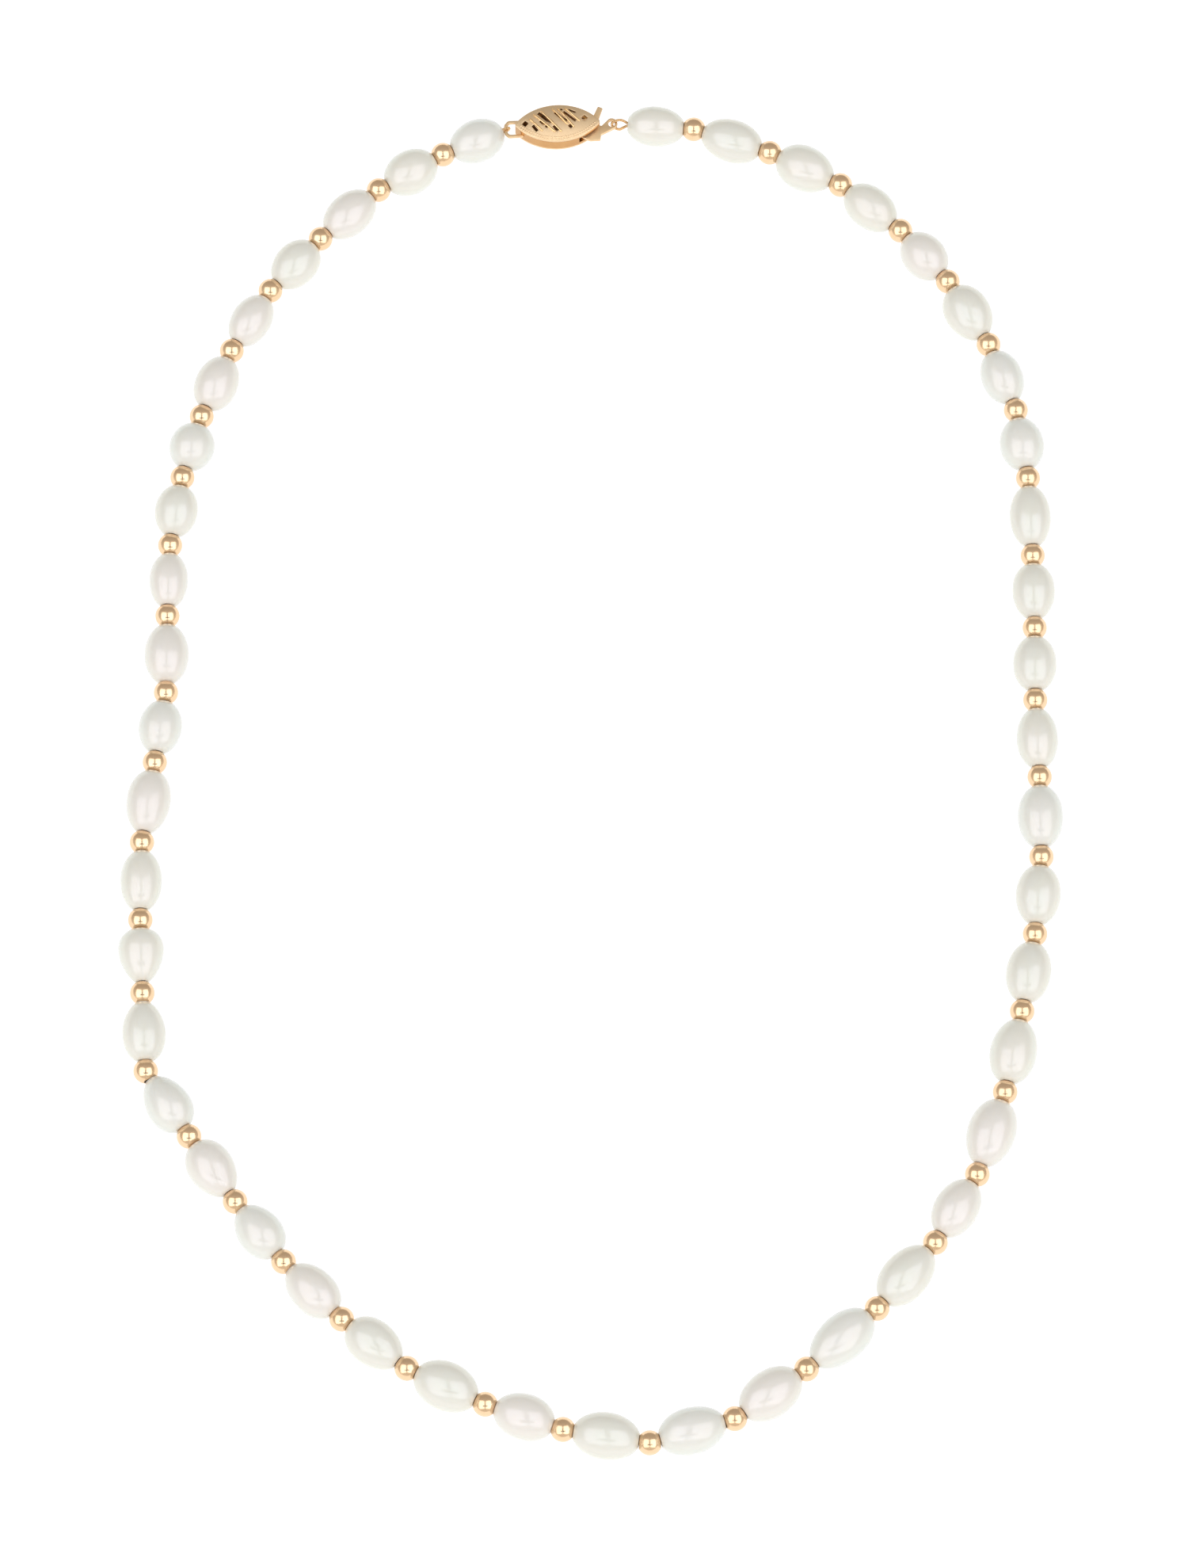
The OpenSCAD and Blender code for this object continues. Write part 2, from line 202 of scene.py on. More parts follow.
@dataclass(frozen=True)
class Gold:
    """Rosy 14 carat gold, from mirror polish to a cast satin skin.

    A metal: all its colour is in the reflection. The grain height sets how much the cast or
    drawn surface breaks that reflection up, and the haze how far the polish varies.
    """

    name: str
    colour: str
    warm: str
    polish: float
    haze: float
    grain: float
    grain_height: float
    grain_strength: float
    # Handling dulls gold in patches of a millimetre or two.
    patch: float = 1.4

    def make(self) -> bpy.types.Material:
        """Builds the material."""
        material, tree = new_material(self.name)
        place = add_node(tree, "TexCoord").outputs["Object"]
        clouds = add_node(
            tree, "TexNoise", {"Vector": place, "Scale": 1 / (self.patch * MM), "Detail": 3.0}
        ).outputs["Fac"]
        tint = add_node(
            tree,
            "Mix",
            {"Factor": clouds, 6: linear(self.colour), 7: linear(self.warm)},
            data_type="RGBA",
        )
        rough = add_node(
            tree,
            "MapRange",
            {"Value": clouds, "To Min": self.polish, "To Max": self.polish + self.haze},
        )
        grains = add_node(
            tree, "TexNoise", {"Vector": place, "Scale": 1 / (self.grain * MM), "Detail": 2.0}
        )
        skin = add_node(
            tree,
            "Bump",
            {
                "Height": grains.outputs["Fac"],
                "Strength": self.grain_strength,
                "Distance": self.grain_height * MM,
            },
        )
        shader = add_node(
            tree,
            "BsdfPrincipled",
            {
                "Base Color": tint.outputs[2],
                "Metallic": 1.0,
                "Roughness": rough.outputs[0],
                "Normal": skin.outputs[0],
            },
        )
        finish_shader(tree, shader)
        return material


@dataclass(frozen=True)
class Silk:
    """Plied bead silk, undyed and twisted by machine.

    The twist gives the eye a soft, fibrous cord, slightly lustrous along its plies.
    """

    name: str = "silk_thread"
    pale: str = "#f4efe6"
    shade: str = "#cfc6b6"
    # A silk filament is about 0.01 mm; the fibres are drawn coarser, so that they show.
    fibre: float = 0.06
    fuzz: float = 0.02

    def make(self) -> bpy.types.Material:
        """Builds the material."""
        material, tree = new_material(self.name)
        place = add_node(tree, "TexCoord").outputs["Object"]
        fibres = add_node(
            tree, "TexNoise", {"Vector": place, "Scale": 1 / (self.fibre * MM), "Detail": 3.0}
        ).outputs["Fac"]
        tint = add_node(
            tree,
            "Mix",
            {"Factor": fibres, 6: linear(self.pale), 7: linear(self.shade)},
            data_type="RGBA",
        )
        nap = add_node(
            tree, "Bump", {"Height": fibres, "Strength": 0.4, "Distance": self.fuzz * MM}
        )
        shader = add_node(
            tree,
            "BsdfPrincipled",
            {
                "Base Color": tint.outputs[2],
                "Roughness": 0.62,
                "Normal": nap.outputs[0],
                "Sheen Weight": 0.3,
                "Sheen Roughness": 0.4,
            },
        )
        finish_shader(tree, shader)
        return material


class Overtone(Enum):
    """The body colours that a strand of matched white pearls still shows.

    Each is a name, a body colour, a creamier one in clouds, and the thickness in nanometres of
    the film of layers, which tips the sheen from silver through cream and rose to green.
    """

    CREAM = Nacre("nacre_cream", "#d6d5ce", "#d4d2c7", 440.0)
    ROSE = Nacre("nacre_rose", "#d7d4cf", "#d5d1c8", 450.0)
    SILVER = Nacre("nacre_silver", "#d5d5d1", "#d3d2ca", 425.0)
    GREEN = Nacre("nacre_green", "#d4d4cc", "#d2d1c5", 475.0)


class Metal(Enum):
    """How each gold piece was finished."""

    # Seamless shell, barrel-polished: a small bright mirror with a trace of haze.
    BEAD = Gold("gold_bead_polish", "#efd2b0", "#eac59c", 0.15, 0.1, 0.25, 0.01, 0.05)
    # Cast and satined: the mould's grit breaks every reflection into a soft glow. The grit is
    # about 0.03 mm, and is drawn coarser, so that it shows.
    SATIN = Gold("gold_cast_satin", "#e9cfab", "#e2c299", 0.36, 0.1, 0.08, 0.04, 0.5)
    # Rolled and brushed: flatter than the casting, with a grit half as deep, drawn as coarse.
    PLATE = Gold("gold_rolled_plate", "#ebcfa8", "#e3c093", 0.32, 0.1, 0.08, 0.02, 0.4)
    # Polished strip under the cover, with sharp reflections: its colour is painted deeper and redder, as painted
    # shade from the cover and painted dark reflections.
    WALL = Gold("gold_wall_painted_shade", "#cb9a58", "#ba8444", 0.18, 0.08, 0.3, 0.01, 0.08)
    # Drawn wire, burnished by wear: a thin bright line along every bar and turn.
    WIRE = Gold("gold_bullion_wire", "#efcfa0", "#e4bb84", 0.16, 0.06, 0.2, 0.01, 0.1)


_made: dict[str, bpy.types.Material] = {}


def material_of(finish: Nacre | Gold | Silk) -> bpy.types.Material:
    """Gives the material of a finish, made once."""
    if finish.name not in _made:
        _made[finish.name] = finish.make()
    return _made[finish.name]


# ---------------------------------------------------------------- meshes


def put(name: str, data: bpy.types.ID, place: Matrix | None = None) -> bpy.types.Object:
    """Adds an object to the scene.

    Args:
        name: Name of the object.
        data: Its mesh, lamp or camera.
        place: Its place, in metres.

    Returns:
        The object.
    """
    made = bpy.data.objects.new(name, data)
    bpy.context.scene.collection.objects.link(made)
    if place is not None:
        made.matrix_world = place
    return made


def piece(
    name: str,
    data: MeshData,
    finish: Nacre | Gold | Silk,
    body: str,
    replaces: Sequence[str] = (),
    place: Matrix | None = None,
) -> bpy.types.Object:
    """Makes one piece of the necklace and puts it on its CAD body.

    Args:
        name: Name of the piece.
        data: Vertices in millimetres, and faces.
        finish: The finish it is dressed in.
        body: CAD body that it rides on.
        replaces: CAD nodes that it stands for.
        place: Place of the piece in the row frame, in metres; its own mesh stays local.

    Returns:
        The object.
    """
    mesh = bpy.data.meshes.new(name)
    mesh.from_pydata((np.array(data[0], float) * MM).tolist(), [], data[1])
    shaped = bmesh.new()
    shaped.from_mesh(mesh)
    bmesh.ops.recalc_face_normals(shaped, faces=shaped.faces)
    shaped.to_mesh(mesh)
    shaped.free()
    mesh.polygons.foreach_set("use_smooth", [True] * len(mesh.polygons))
    mesh.materials.append(material_of(finish))
    made = put(name, mesh, place)
    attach(made, body)
    if replaces:
        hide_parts(*replaces)
    return made


def join_data(parts: Sequence[MeshData]) -> MeshData:
    """Joins several meshes' data into one.

    Args:
        parts: Vertices and faces of each mesh.

    Returns:
        The vertices and faces of them all.
    """
    points: list[Point3] = []
    faces: list[tuple[int, ...]] = []
    for verts, polys in parts:
        base = len(points)
        points += list(verts)
        faces += [tuple(base + i for i in poly) for poly in polys]
    return points, faces


def grid_faces(rings: int, sides: int, closed: bool) -> list[tuple[int, ...]]:
    """Quads between rings of points.

    Args:
        rings: Number of rings.
        sides: Points in each ring.
        closed: Whether the last ring joins the first.

    Returns:
        The faces.
    """
    last = rings if closed else rings - 1
    return [
        (
            i * sides + j,
            i * sides + (j + 1) % sides,
            (i + 1) % rings * sides + (j + 1) % sides,
            (i + 1) % rings * sides + j,
        )
        for i in range(last)
        for j in range(sides)
    ]


def lathe(profile: Sequence[Point2], sides: int) -> MeshData:
    """Turns a closed profile about the local Z axis.

    Args:
        profile: Height and radius of each point of the closed outline.
        sides: Points round the axis.

    Returns:
        The mesh data.
    """
    turns = [2 * math.pi * j / sides for j in range(sides)]
    points = [
        (radius * math.cos(a), radius * math.sin(a), height)
        for height, radius in profile
        for a in turns
    ]
    return points, grid_faces(len(profile), sides, closed=True)


def smooth_path(points: Sequence[Vector], steps: int) -> list[Vector]:
    """Runs a smooth curve through points.

    Args:
        points: Points that the curve passes through.
        steps: Spans between two of them.

    Returns:
        Points along the curve.
    """
    last = len(points) - 1
    out = []
    for i in range(last):
        a, b, c, d = (points[min(max(i + k, 0), last)] for k in (-1, 0, 1, 2))
        square, cube = 2 * a - 5 * b + 4 * c - d, 3 * b - a - 3 * c + d
        for t in (s / steps for s in range(steps)):
            out.append(0.5 * (2 * b + (c - a) * t + square * t**2 + cube * t**3))
    return [*out, points[last].copy()]


def even_path(points: Sequence[Vector], step: float) -> list[Vector]:
    """Divides a path into equal steps.

    Args:
        points: The path.
        step: About how long each step is.

    Returns:
        Points along the path.
    """
    lengths = [0.0]
    for a, b in zip(points, points[1:]):
        lengths.append(lengths[-1] + (b - a).length)
    count = max(2, round(lengths[-1] / step))
    out, at = [], 0
    for i in range(count + 1):
        want = lengths[-1] * i / count
        while at < len(points) - 2 and lengths[at + 1] < want:
            at += 1
        share = (want - lengths[at]) / max(lengths[at + 1] - lengths[at], 1e-9)
        out.append(points[at].lerp(points[at + 1], min(1.0, share)))
    return out


def path_frames(points: Sequence[Vector]) -> list[tuple[Vector, Vector, Vector]]:
    """Carries a pair of normals along a path without twist.

    Args:
        points: The path.

    Returns:
        For each point, the course, the first normal and the second normal.
    """
    frames = []
    normal = None
    last = len(points) - 1
    for i in range(len(points)):
        course = (points[min(i + 1, last)] - points[max(i - 1, 0)]).normalized()
        if normal is None:
            normal = Vector((0, 0, 1)) if abs(course.z) < 0.9 else Vector((1, 0, 0))
        normal = (normal - course * normal.dot(course)).normalized()
        frames.append((course, normal.copy(), course.cross(normal)))
    return frames


def tube(
    points: Sequence[Vector],
    radius: Callable[[float, float], float],
    sides: int,
    bulge: float = 0.35,
) -> MeshData:
    """Sweeps a section along a path and closes both ends with a low dome.

    Args:
        points: The path.
        radius: Radius of the section at a length along the path and an angle round it.
        sides: Points round the section.
        bulge: Height of the end domes over the section's radius.

    Returns:
        The mesh data.
    """
    verts: list[Point3] = []
    run = 0.0
    frames = path_frames(points)
    turns = [2 * math.pi * j / sides for j in range(sides)]
    for i, (point, (_, normal, side)) in enumerate(zip(points, frames)):
        run += (point - points[i - 1]).length if i else 0.0
        for a in turns:
            way = normal * math.cos(a) + side * math.sin(a)
            verts.append(tuple(point + way * radius(run, a)))
    faces = grid_faces(len(points), sides, closed=False)
    dome = bulge * radius(0.0, 0.0)
    for end, out, base in ((0, -dome, 0), (-1, dome, (len(points) - 1) * sides)):
        verts.append(tuple(points[end] + frames[end][0] * out))
        tip = len(verts) - 1
        faces += [(base + j, base + (j + 1) % sides, tip) for j in range(sides)]
    return verts, faces


def oblong(x1: float, y1: float, x2: float, y2: float) -> Loop:
    """Corners of a rectangle, counter-clockwise from its lowest left one."""
    return [(x1, y1), (x2, y1), (x2, y2), (x1, y2)]


def softened(corners: Sequence[Point2], cut: float, steps: int = 3) -> Loop:
    """Rounds the corners of a closed outline.

    Args:
        corners: Corners, counter-clockwise.
        cut: How far from each corner its curve begins.
        steps: Spans in each curve.

    Returns:
        The outline with rounded corners.
    """
    # On a short side, a curve takes a little less than half.
    most = 0.45
    out: Loop = []
    for i, here in enumerate(corners):
        p = Vector(here)
        before, after = Vector(corners[i - 1]) - p, Vector(corners[(i + 1) % len(corners)]) - p
        a = p + before.normalized() * min(cut, most * before.length)
        b = p + after.normalized() * min(cut, most * after.length)
        for t in (s / steps for s in range(steps + 1)):
            q = a * (1 - t) ** 2 + p * (2 * t * (1 - t)) + b * t**2
            out.append((q.x, q.y))
    return out


def offset_loop(loop: Sequence[Point2], inward: float) -> Loop:
    """Moves a counter-clockwise outline inwards or outwards.

    Args:
        loop: The outline.
        inward: How far inwards, or outwards if it is negative.

    Returns:
        The moved outline, with as many points.
    """
    # Keeps the point of a sharp corner from running far out.
    least = 0.35
    out: Loop = []
    for i, here in enumerate(loop):
        p = Vector(here)
        d1 = (p - Vector(loop[i - 1])).normalized()
        d2 = (Vector(loop[(i + 1) % len(loop)]) - p).normalized()
        n1, n2 = Vector((-d1.y, d1.x)), Vector((-d2.y, d2.x))
        q = p + (n1 + n2) * (inward / max(least, 1 + n1.dot(n2)))
        out.append((q.x, q.y))
    return out


def inside(loop: Sequence[Point2], x: float, y: float) -> bool:
    """Tests whether a point lies inside an outline.

    Args:
        loop: The outline.
        x: The point's first coordinate.
        y: Its second coordinate.

    Returns:
        True if it does.
    """
    hit = False
    for (x1, y1), (x2, y2) in zip(loop, [*loop[1:], loop[0]]):
        if (y1 > y) != (y2 > y) and x < (x2 - x1) * (y - y1) / (y2 - y1) + x1:
            hit = not hit
    return hit


def skin_between(
    loops: Sequence[Sequence[Point2]], spacing: float
) -> tuple[Loop, list[tuple[int, ...]]]:
    """Fills the area inside the first outline and outside the others with triangles.

    Args:
        loops: The outer outline and then the holes, all counter-clockwise.
        spacing: Spacing of the extra points inside, or 0 for none.

    Returns:
        The points, with the outlines' own points first and in order, and the triangles.
    """

    def between(rims: Sequence[Sequence[Point2]], x: float, y: float) -> bool:
        """Tests whether a point lies in the first outline and in none of the others."""
        return inside(rims[0], x, y) and not any(inside(rim, x, y) for rim in rims[1:])

    points: list[Point2] = [p for loop in loops for p in loop]
    edges = []
    base = 0
    for loop in loops:
        edges += [(base + i, base + (i + 1) % len(loop)) for i in range(len(loop))]
        base += len(loop)
    if spacing:
        margins = [offset_loop(loops[0], spacing / 2)]
        margins += [offset_loop(hole, -spacing / 2) for hole in loops[1:]]
        xs, ys = zip(*loops[0])
        for row in range(int((max(ys) - min(ys)) / spacing)):
            for column in range(int((max(xs) - min(xs)) / spacing)):
                x = min(xs) + (column + 0.5 + 0.5 * (row % 2)) * spacing
                y = min(ys) + (row + 0.5) * spacing
                if between(margins, x, y):
                    points.append((x, y))
    made = delaunay_2d_cdt([Vector(p) for p in points], edges, [], 0, 1e-6)
    triangles = []
    for face in made[2]:
        x, y = (sum(made[0][i][k] for i in face) / 3 for k in (0, 1))
        if between(loops, x, y):
            triangles.append(tuple(made[3][i][0] for i in face))
    return points, triangles


def pressed_plate(
    outline: Loop,
    holes: Sequence[Loop],
    bottom: float,
    top: float | Callable[[float, float], float],
    edge: float,
    spacing: float = 0.0,
) -> MeshData:
    """Builds a plate with holes, whose edges are all rounded over.

    Args:
        outline: Outer outline, counter-clockwise.
        holes: Outlines of the holes, counter-clockwise.
        bottom: Height of its underside.
        top: Height of its upper side, or what gives it at a point.
        edge: Radius of the rounded edges.
        spacing: Spacing of the points on the upper side, or 0 for a flat one.

    Returns:
        The mesh data.
    """
    steps = 3
    arc = [math.pi / 2 * s / steps for s in range(steps + 1)]
    rows = [(edge * (1 - math.sin(a)), edge * (1 - math.cos(a)), False) for a in arc]
    rows += [(edge * (1 - math.cos(a)), edge * (1 - math.sin(a)), True) for a in arc]

    def height(x: float, y: float, drop: float, is_top: bool) -> float:
        """Height of a point that lies a drop in from the upper side or the underside."""
        if not is_top:
            return bottom + drop
        return (top(x, y) if callable(top) else top) - drop

    verts: list[Point3] = []
    faces: list[tuple[int, ...]] = []
    sides: tuple[tuple[list[int], list[Loop]], ...] = (([], []), ([], []))
    for way, loop in [(1.0, outline), *[(-1.0, hole) for hole in holes]]:
        base, count = len(verts), len(loop)
        for inset, drop, is_top in rows:
            for x, y in offset_loop(loop, way * inset):
                verts.append((x, y, height(x, y, drop, is_top)))
        quads = grid_faces(len(rows), count, closed=False)
        faces += [tuple(base + i for i in face) for face in quads]
        for (ids, rims), row in zip(sides, (0, len(rows) - 1)):
            ids += range(base + row * count, base + (row + 1) * count)
            rims.append(offset_loop(loop, way * rows[row][0]))
    for is_top, (ids, rims) in enumerate(sides):
        points, triangles = skin_between(rims, spacing if is_top else 0.0)
        for x, y in points[len(ids) :]:
            ids.append(len(verts))
            verts.append((x, y, height(x, y, 0.0, bool(is_top))))
        faces += [tuple(ids[i] for i in triangle) for triangle in triangles]
    return verts, faces


def aim(origin: Vector, course: Vector) -> Matrix:
    """Matrix that puts the local origin at a point and turns local +Z to a direction."""
    return Matrix.Translation(origin) @ course.to_track_quat("Z", "Y").to_matrix().to_4x4()


# ---------------------------------------------------------------- reading the frame


def solids_of(node: str) -> list[np.ndarray]:
    """Splits a CAD node's mesh into its separate solids.

    Args:
        node: Name of the CAD node.

    Returns:
        The points of each solid, in millimetres.
    """
    mesh = frame["nodes"][node].data
    points = np.zeros(len(mesh.vertices) * 3)
    mesh.vertices.foreach_get("co", points)
    points = points.reshape(-1, 3) / MM
    keys, which = np.unique(np.round(points, 4), axis=0, return_inverse=True)
    which = which.ravel()
    parent = list(range(len(keys)))

    def root(i: int) -> int:
        """Finds the solid that a point belongs to."""
        while parent[i] != i:
            parent[i] = parent[parent[i]]
            i = parent[i]
        return i

    for polygon in mesh.polygons:
        ids = [root(int(which[v])) for v in polygon.vertices]
        for other in ids[1:]:
            parent[root(other)] = root(ids[0])
    groups: dict[int, list[int]] = {}
    for i in range(len(keys)):
        groups.setdefault(root(i), []).append(i)
    return [keys[ids] for ids in groups.values()]


def joint_place(name: str) -> Vector:
    """Place of a joint's axis in the row frame, in millimetres."""
    joint = next(j for j in frame["joints"] if j["name"] == name)
    return Vector(joint["pos_m"]) / MM


def round_axis(
    points: np.ndarray, origin: Vector, course: Vector
) -> tuple[np.ndarray, np.ndarray]:
    """Measures points about an axis.

    Args:
        points: The points.
        origin: A point of the axis.
        course: Its direction.

    Returns:
        The points' heights along the axis and their distances from it.
    """
    away, axis = points - np.array(origin), np.array(course)
    heights = away @ axis
    return heights, np.linalg.norm(away - np.outer(heights, axis), axis=1)


@dataclass
class Station:
    """One solid's place on the strand, or the place where the thread turns at the clasp."""

    centre: Vector
    body: str
    node: str
    points: np.ndarray | None = None


# ---------------------------------------------------------------- the strand


@dataclass
class GoldBead:
    """A hollow seamless bead whose ends are folded in round the thread hole."""

    number: int
    station: Station
    course: Vector
    wall: float = 0.25
    lip: float = 0.1
    fold_depth: float = 0.07
    fold_clearance: float = 0.02
    outer_steps: int = 30
    inner_steps: int = 10
    sides: int = 48

    def arc(self, radius: float, hole: float, steps: int) -> list[Point2]:
        """Half circle about the bead's middle, cut short at both ends.

        Args:
            radius: Its radius.
            hole: Distance from the axis at which it ends.
            steps: Spans along it.

        Returns:
            Height and radius of each point, from the upper end to the lower.
        """
        start = math.asin(hole / radius)
        turns = [start + (math.pi - 2 * start) * i / steps for i in range(steps + 1)]
        return [(radius * math.cos(a), radius * math.sin(a)) for a in turns]

    def profile(self) -> list[Point2]:
        """Outline of the wall, from one folded end over the outside and back inside."""
        points = self.station.points
        hole = float(round_axis(points, self.station.centre, self.course)[1].min())
        radius = float(np.ptp(points[:, 2])) / 2
        outer = self.arc(radius, hole + self.lip, self.outer_steps)
        inner = self.arc(radius - self.wall, hole + self.fold_clearance, self.inner_steps)
        fold = [
            (
                outer[-1][0] + self.fold_depth * (1 - math.cos(a)),
                hole + self.lip * (1 - math.sin(a)),
            )
            for a in (math.pi / 6, math.pi / 3, math.pi / 2)
        ]
        other = [(-height, r) for height, r in reversed(fold)]
        return [*outer, *fold, *reversed(inner), *other]

    def build(self) -> bpy.types.Object:
        """Makes the bead."""
        return piece(
            f"bead_{self.number:02d}",
            lathe(self.profile(), self.sides),
            Metal.BEAD.value,
            self.station.body,
            [self.station.node],
            aim(self.station.centre * MM, self.course),
        )


@dataclass
class Pearl:
    """An oval pearl, drilled lengthwise, with a worn seat for the bead at each end."""

    number: int
    start: Vector
    end: Vector
    solid: Station
    rim: float = 0.07
    rim_steps: int = 4
    seat_steps: int = 6
    # How far the CAD's points may stray from a seat's ball, an end's level and the skin.
    seat_play: float = 0.02
    level_play: float = 0.001
    skin_play: float = 0.0002
    sides: int = 64
    rings: int = 56
    seed: int = 4100
    # Swellings of the skin: size across and height of each kind.
    swellings: tuple[Point2, ...] = ((3.2, 0.035), (1.3, 0.00875))
    # Growth begins this far from the ends, and is full after this much more.
    bare: float = 0.35
    fade: float = 1.2
    mark_width: Span = (0.25, 0.5)
    mark_depth: Span = (0.004, 0.011)
    # How often cream, rose, silver and green come.
    overtones: tuple[int, ...] = (4, 3, 3, 2)

    def __post_init__(self) -> None:
        """Reads the pearl's own sizes from its CAD solid."""
        self.course = (self.end - self.start).normalized()
        self._height, self._radius = round_axis(self.solid.points, self.start, self.course)
        self.bore = float(self._radius.min())
        self.low, self.high = float(self._height.min()), float(self._height.max())
        self.mouth = float(self._radius[self._height < self.low + self.level_play].max())
        self.random = random.Random(self.seed + self.number)

    def seat_points(self, at_end: bool) -> list[Point2]:
        """Profile of a seat from its rim to the bore.

        Args:
            at_end: Whether it is the far seat.

        Returns:
            Height and radius of each point. A seat without a bead is flat.
        """
        pivot, rim, side = 0.0, self.low, 1
        if at_end:
            pivot, rim, side = (self.end - self.start).length, self.high, -1
        reach = math.hypot(pivot - rim, self.mouth)
        near = float(np.hypot(self._height - pivot, self._radius).min())
        out = []
        for i in range(self.seat_steps + 1):
            r = self.mouth + (self.bore - self.mouth) * i / self.seat_steps
            cupped = near > reach - self.seat_play
            out.append((pivot + side * math.sqrt(reach**2 - r**2) if cupped else rim, r))
        return out

    def outside(self) -> list[Point2]:
        """Smooth outside profile, from the first rim to the far one."""
        keep = self._radius > self.mouth - self.skin_play
        curve = np.polyfit(self._height[keep], self._radius[keep] ** 2, 4)
        middle, half = (self.low + self.high) / 2, (self.high - self.low) / 2
        turns = [math.pi * (i / self.rings - 0.5) for i in range(self.rings + 1)]
        heights = [middle + half * math.sin(turn) for turn in turns]
        return [(h, math.sqrt(float(np.polyval(curve, h)))) for h in heights]

    def worn(self, skin: Sequence[Point2], seat: Sequence[Point2]) -> list[Point2]:
        """Curve that wears off the rim between the skin and a seat.

        Args:
            skin: Outside profile, from this rim on.
            seat: Profile of the seat, from its rim on.

        Returns:
            Height and radius of each point, from the skin to the seat.
        """
        corner = Vector(skin[0])
        along = (Vector(skin[2]) - corner).normalized() * self.rim
        down = (Vector(seat[1]) - corner).normalized() * self.rim
        shares = [i / self.rim_steps for i in range(self.rim_steps + 1)]
        return [tuple(corner + along * (1 - t) ** 2 + down * t**2) for t in shares]

    def profile(self) -> list[Point2]:
        """Closed outline: the skin, a worn rim at each end, both seats and the bore."""
        skin, near, far = self.outside(), self.seat_points(False), self.seat_points(True)
        low, high = self.worn(skin, near), self.worn(skin[::-1], far)
        middle = [p for p in skin if self.low + self.rim < p[0] < self.high - self.rim]
        return [*reversed(low), *middle, *high, *far[1:], *reversed(near[1:])]

    def build(self) -> bpy.types.Object:
        """Lathes the pearl, and gives it the small swellings and rings of its growth."""
        verts, faces = lathe(self.profile(), self.sides)
        marks = [
            (self.random.uniform(self.low, self.high), self.random.uniform(*self.mark_width))
            for _ in range(self.random.choice((1, 2, 3, 5)))
        ]
        depth = self.random.uniform(*self.mark_depth)
        # Each pearl reads the noise at a place of its own.
        seed = Vector((self.number * 7.3, self.number * 3.1, 0))
        grown = []
        for x, y, z in verts:
            r = math.hypot(x, y)
            share = min(1.0, max(0.0, min(z - self.low, self.high - z) - self.bare) / self.fade)
            if r > self.mouth + self.seat_play and share > 0:
                spot = Vector((x, y, z))
                lump = sum(noise.noise(spot / wide + seed) * up for wide, up in self.swellings)
                lump -= depth * sum(math.exp(-(((z - at) / wide) ** 2)) for at, wide in marks)
                x, y = x * (1 + lump * share / r), y * (1 + lump * share / r)
            grown.append((x, y, z))
        finish = self.random.choices(list(Overtone), weights=self.overtones)[0].value
        return piece(
            f"pearl_{self.number:02d}",
            (grown, faces),
            finish,
            self.solid.body,
            [self.solid.node],
            aim(self.start * MM, self.course),
        )


@dataclass
class Strand:
    """All the pearls, beads and silk, in order from the hook round to the end loop."""

    # How far from the clasp's pivots the silk ends, inside the guards.
    eye_reach: float = 2.65
    bar_reach: float = 1.1
    thread_radius: float = 0.2
    plies: int = 3
    ply_relief: float = 0.1
    twist: float = 1.1
    silk_step: float = 0.25
    silk_sides: int = 12
    stations: list[Station] = field(init=False)
    pearls: list[Station] = field(init=False)

    def __post_init__(self) -> None:
        """Finds every bead and pearl in the frame and orders the beads along the thread."""
        bodies = frame["record"]["behaviour"]["bodies"]
        owner = {node: body for body, nodes in bodies.items() for node in nodes}
        beads: list[Station] = []
        self.pearls = []
        for kind, found in (("beads_", beads), ("pearl", self.pearls)):
            for node in sorted(n for n in frame["nodes"] if n.startswith(kind)):
                for points in solids_of(node):
                    centre = Vector((points.min(0) + points.max(0)) / 2)
                    found.append(Station(centre, owner[node], node, points))
        self.stations = [Station(joint_place("hook_turn"), "hook", "")]
        while beads:
            here = self.stations[-1].centre
            nearest = min(beads, key=lambda s: (s.centre - here).length)
            beads.remove(nearest)
            self.stations.append(nearest)
        self.stations.append(Station(joint_place("clasp_turn"), "clasp", ""))

    def pearl_between(self, a: Station, b: Station) -> Station:
        """The pearl whose middle is nearest to the middle of two stations."""
        middle = (a.centre + b.centre) / 2
        return min(self.pearls, key=lambda s: (s.centre - middle).length)

    def build(self) -> None:
        """Makes the pearls, the beads and the silk inside them."""
        pairs = list(zip(self.stations, self.stations[1:]))
        courses = [(b.centre - a.centre).normalized() for a, b in pairs]
        for k, station in enumerate(self.stations[1:-1], 1):
            GoldBead(k, station, (courses[k - 1] + courses[k]).normalized()).build()
        log.info("%d gold beads", len(self.stations) - 2)
        links: dict[str, list[int]] = {}
        for k, (a, b) in enumerate(pairs, 1):
            solid = self.pearl_between(a, b)
            Pearl(k, a.centre, b.centre, solid).build()
            links.setdefault(solid.body, []).append(k)
        log.info("%d pearls", len(pairs))
        for body, numbers in links.items():
            self.silk(body, numbers)
        log.info("%d lengths of silk", len(links))

    def silk(self, body: str, numbers: Sequence[int]) -> bpy.types.Object:
        """Makes the silk through the pearls of one link, from pivot bead to pivot bead.

        Args:
            body: CAD body of the link.
            numbers: Its pearls, in order.

        Returns:
            The piece.
        """
        points = [self.stations[k].centre.copy() for k in (numbers[0] - 1, *numbers)]
        if numbers[0] == 1:
            points[0] += (points[1] - points[0]).normalized() * self.eye_reach
        if numbers[-1] == len(self.stations) - 1:
            points[-1] += (points[-2] - points[-1]).normalized() * self.bar_reach

        def section(length: float, angle: float) -> float:
            """Radius of the twisted plies."""
            lobes = math.cos(self.plies * angle - 2 * math.pi * length / self.twist)
            return self.thread_radius * (1 - self.ply_relief + self.ply_relief * lobes)

        data = tube(even_path(points, self.silk_step), section, self.silk_sides)
        return piece(f"silk_{body}", data, Silk(), body, ["stringing_thread"])


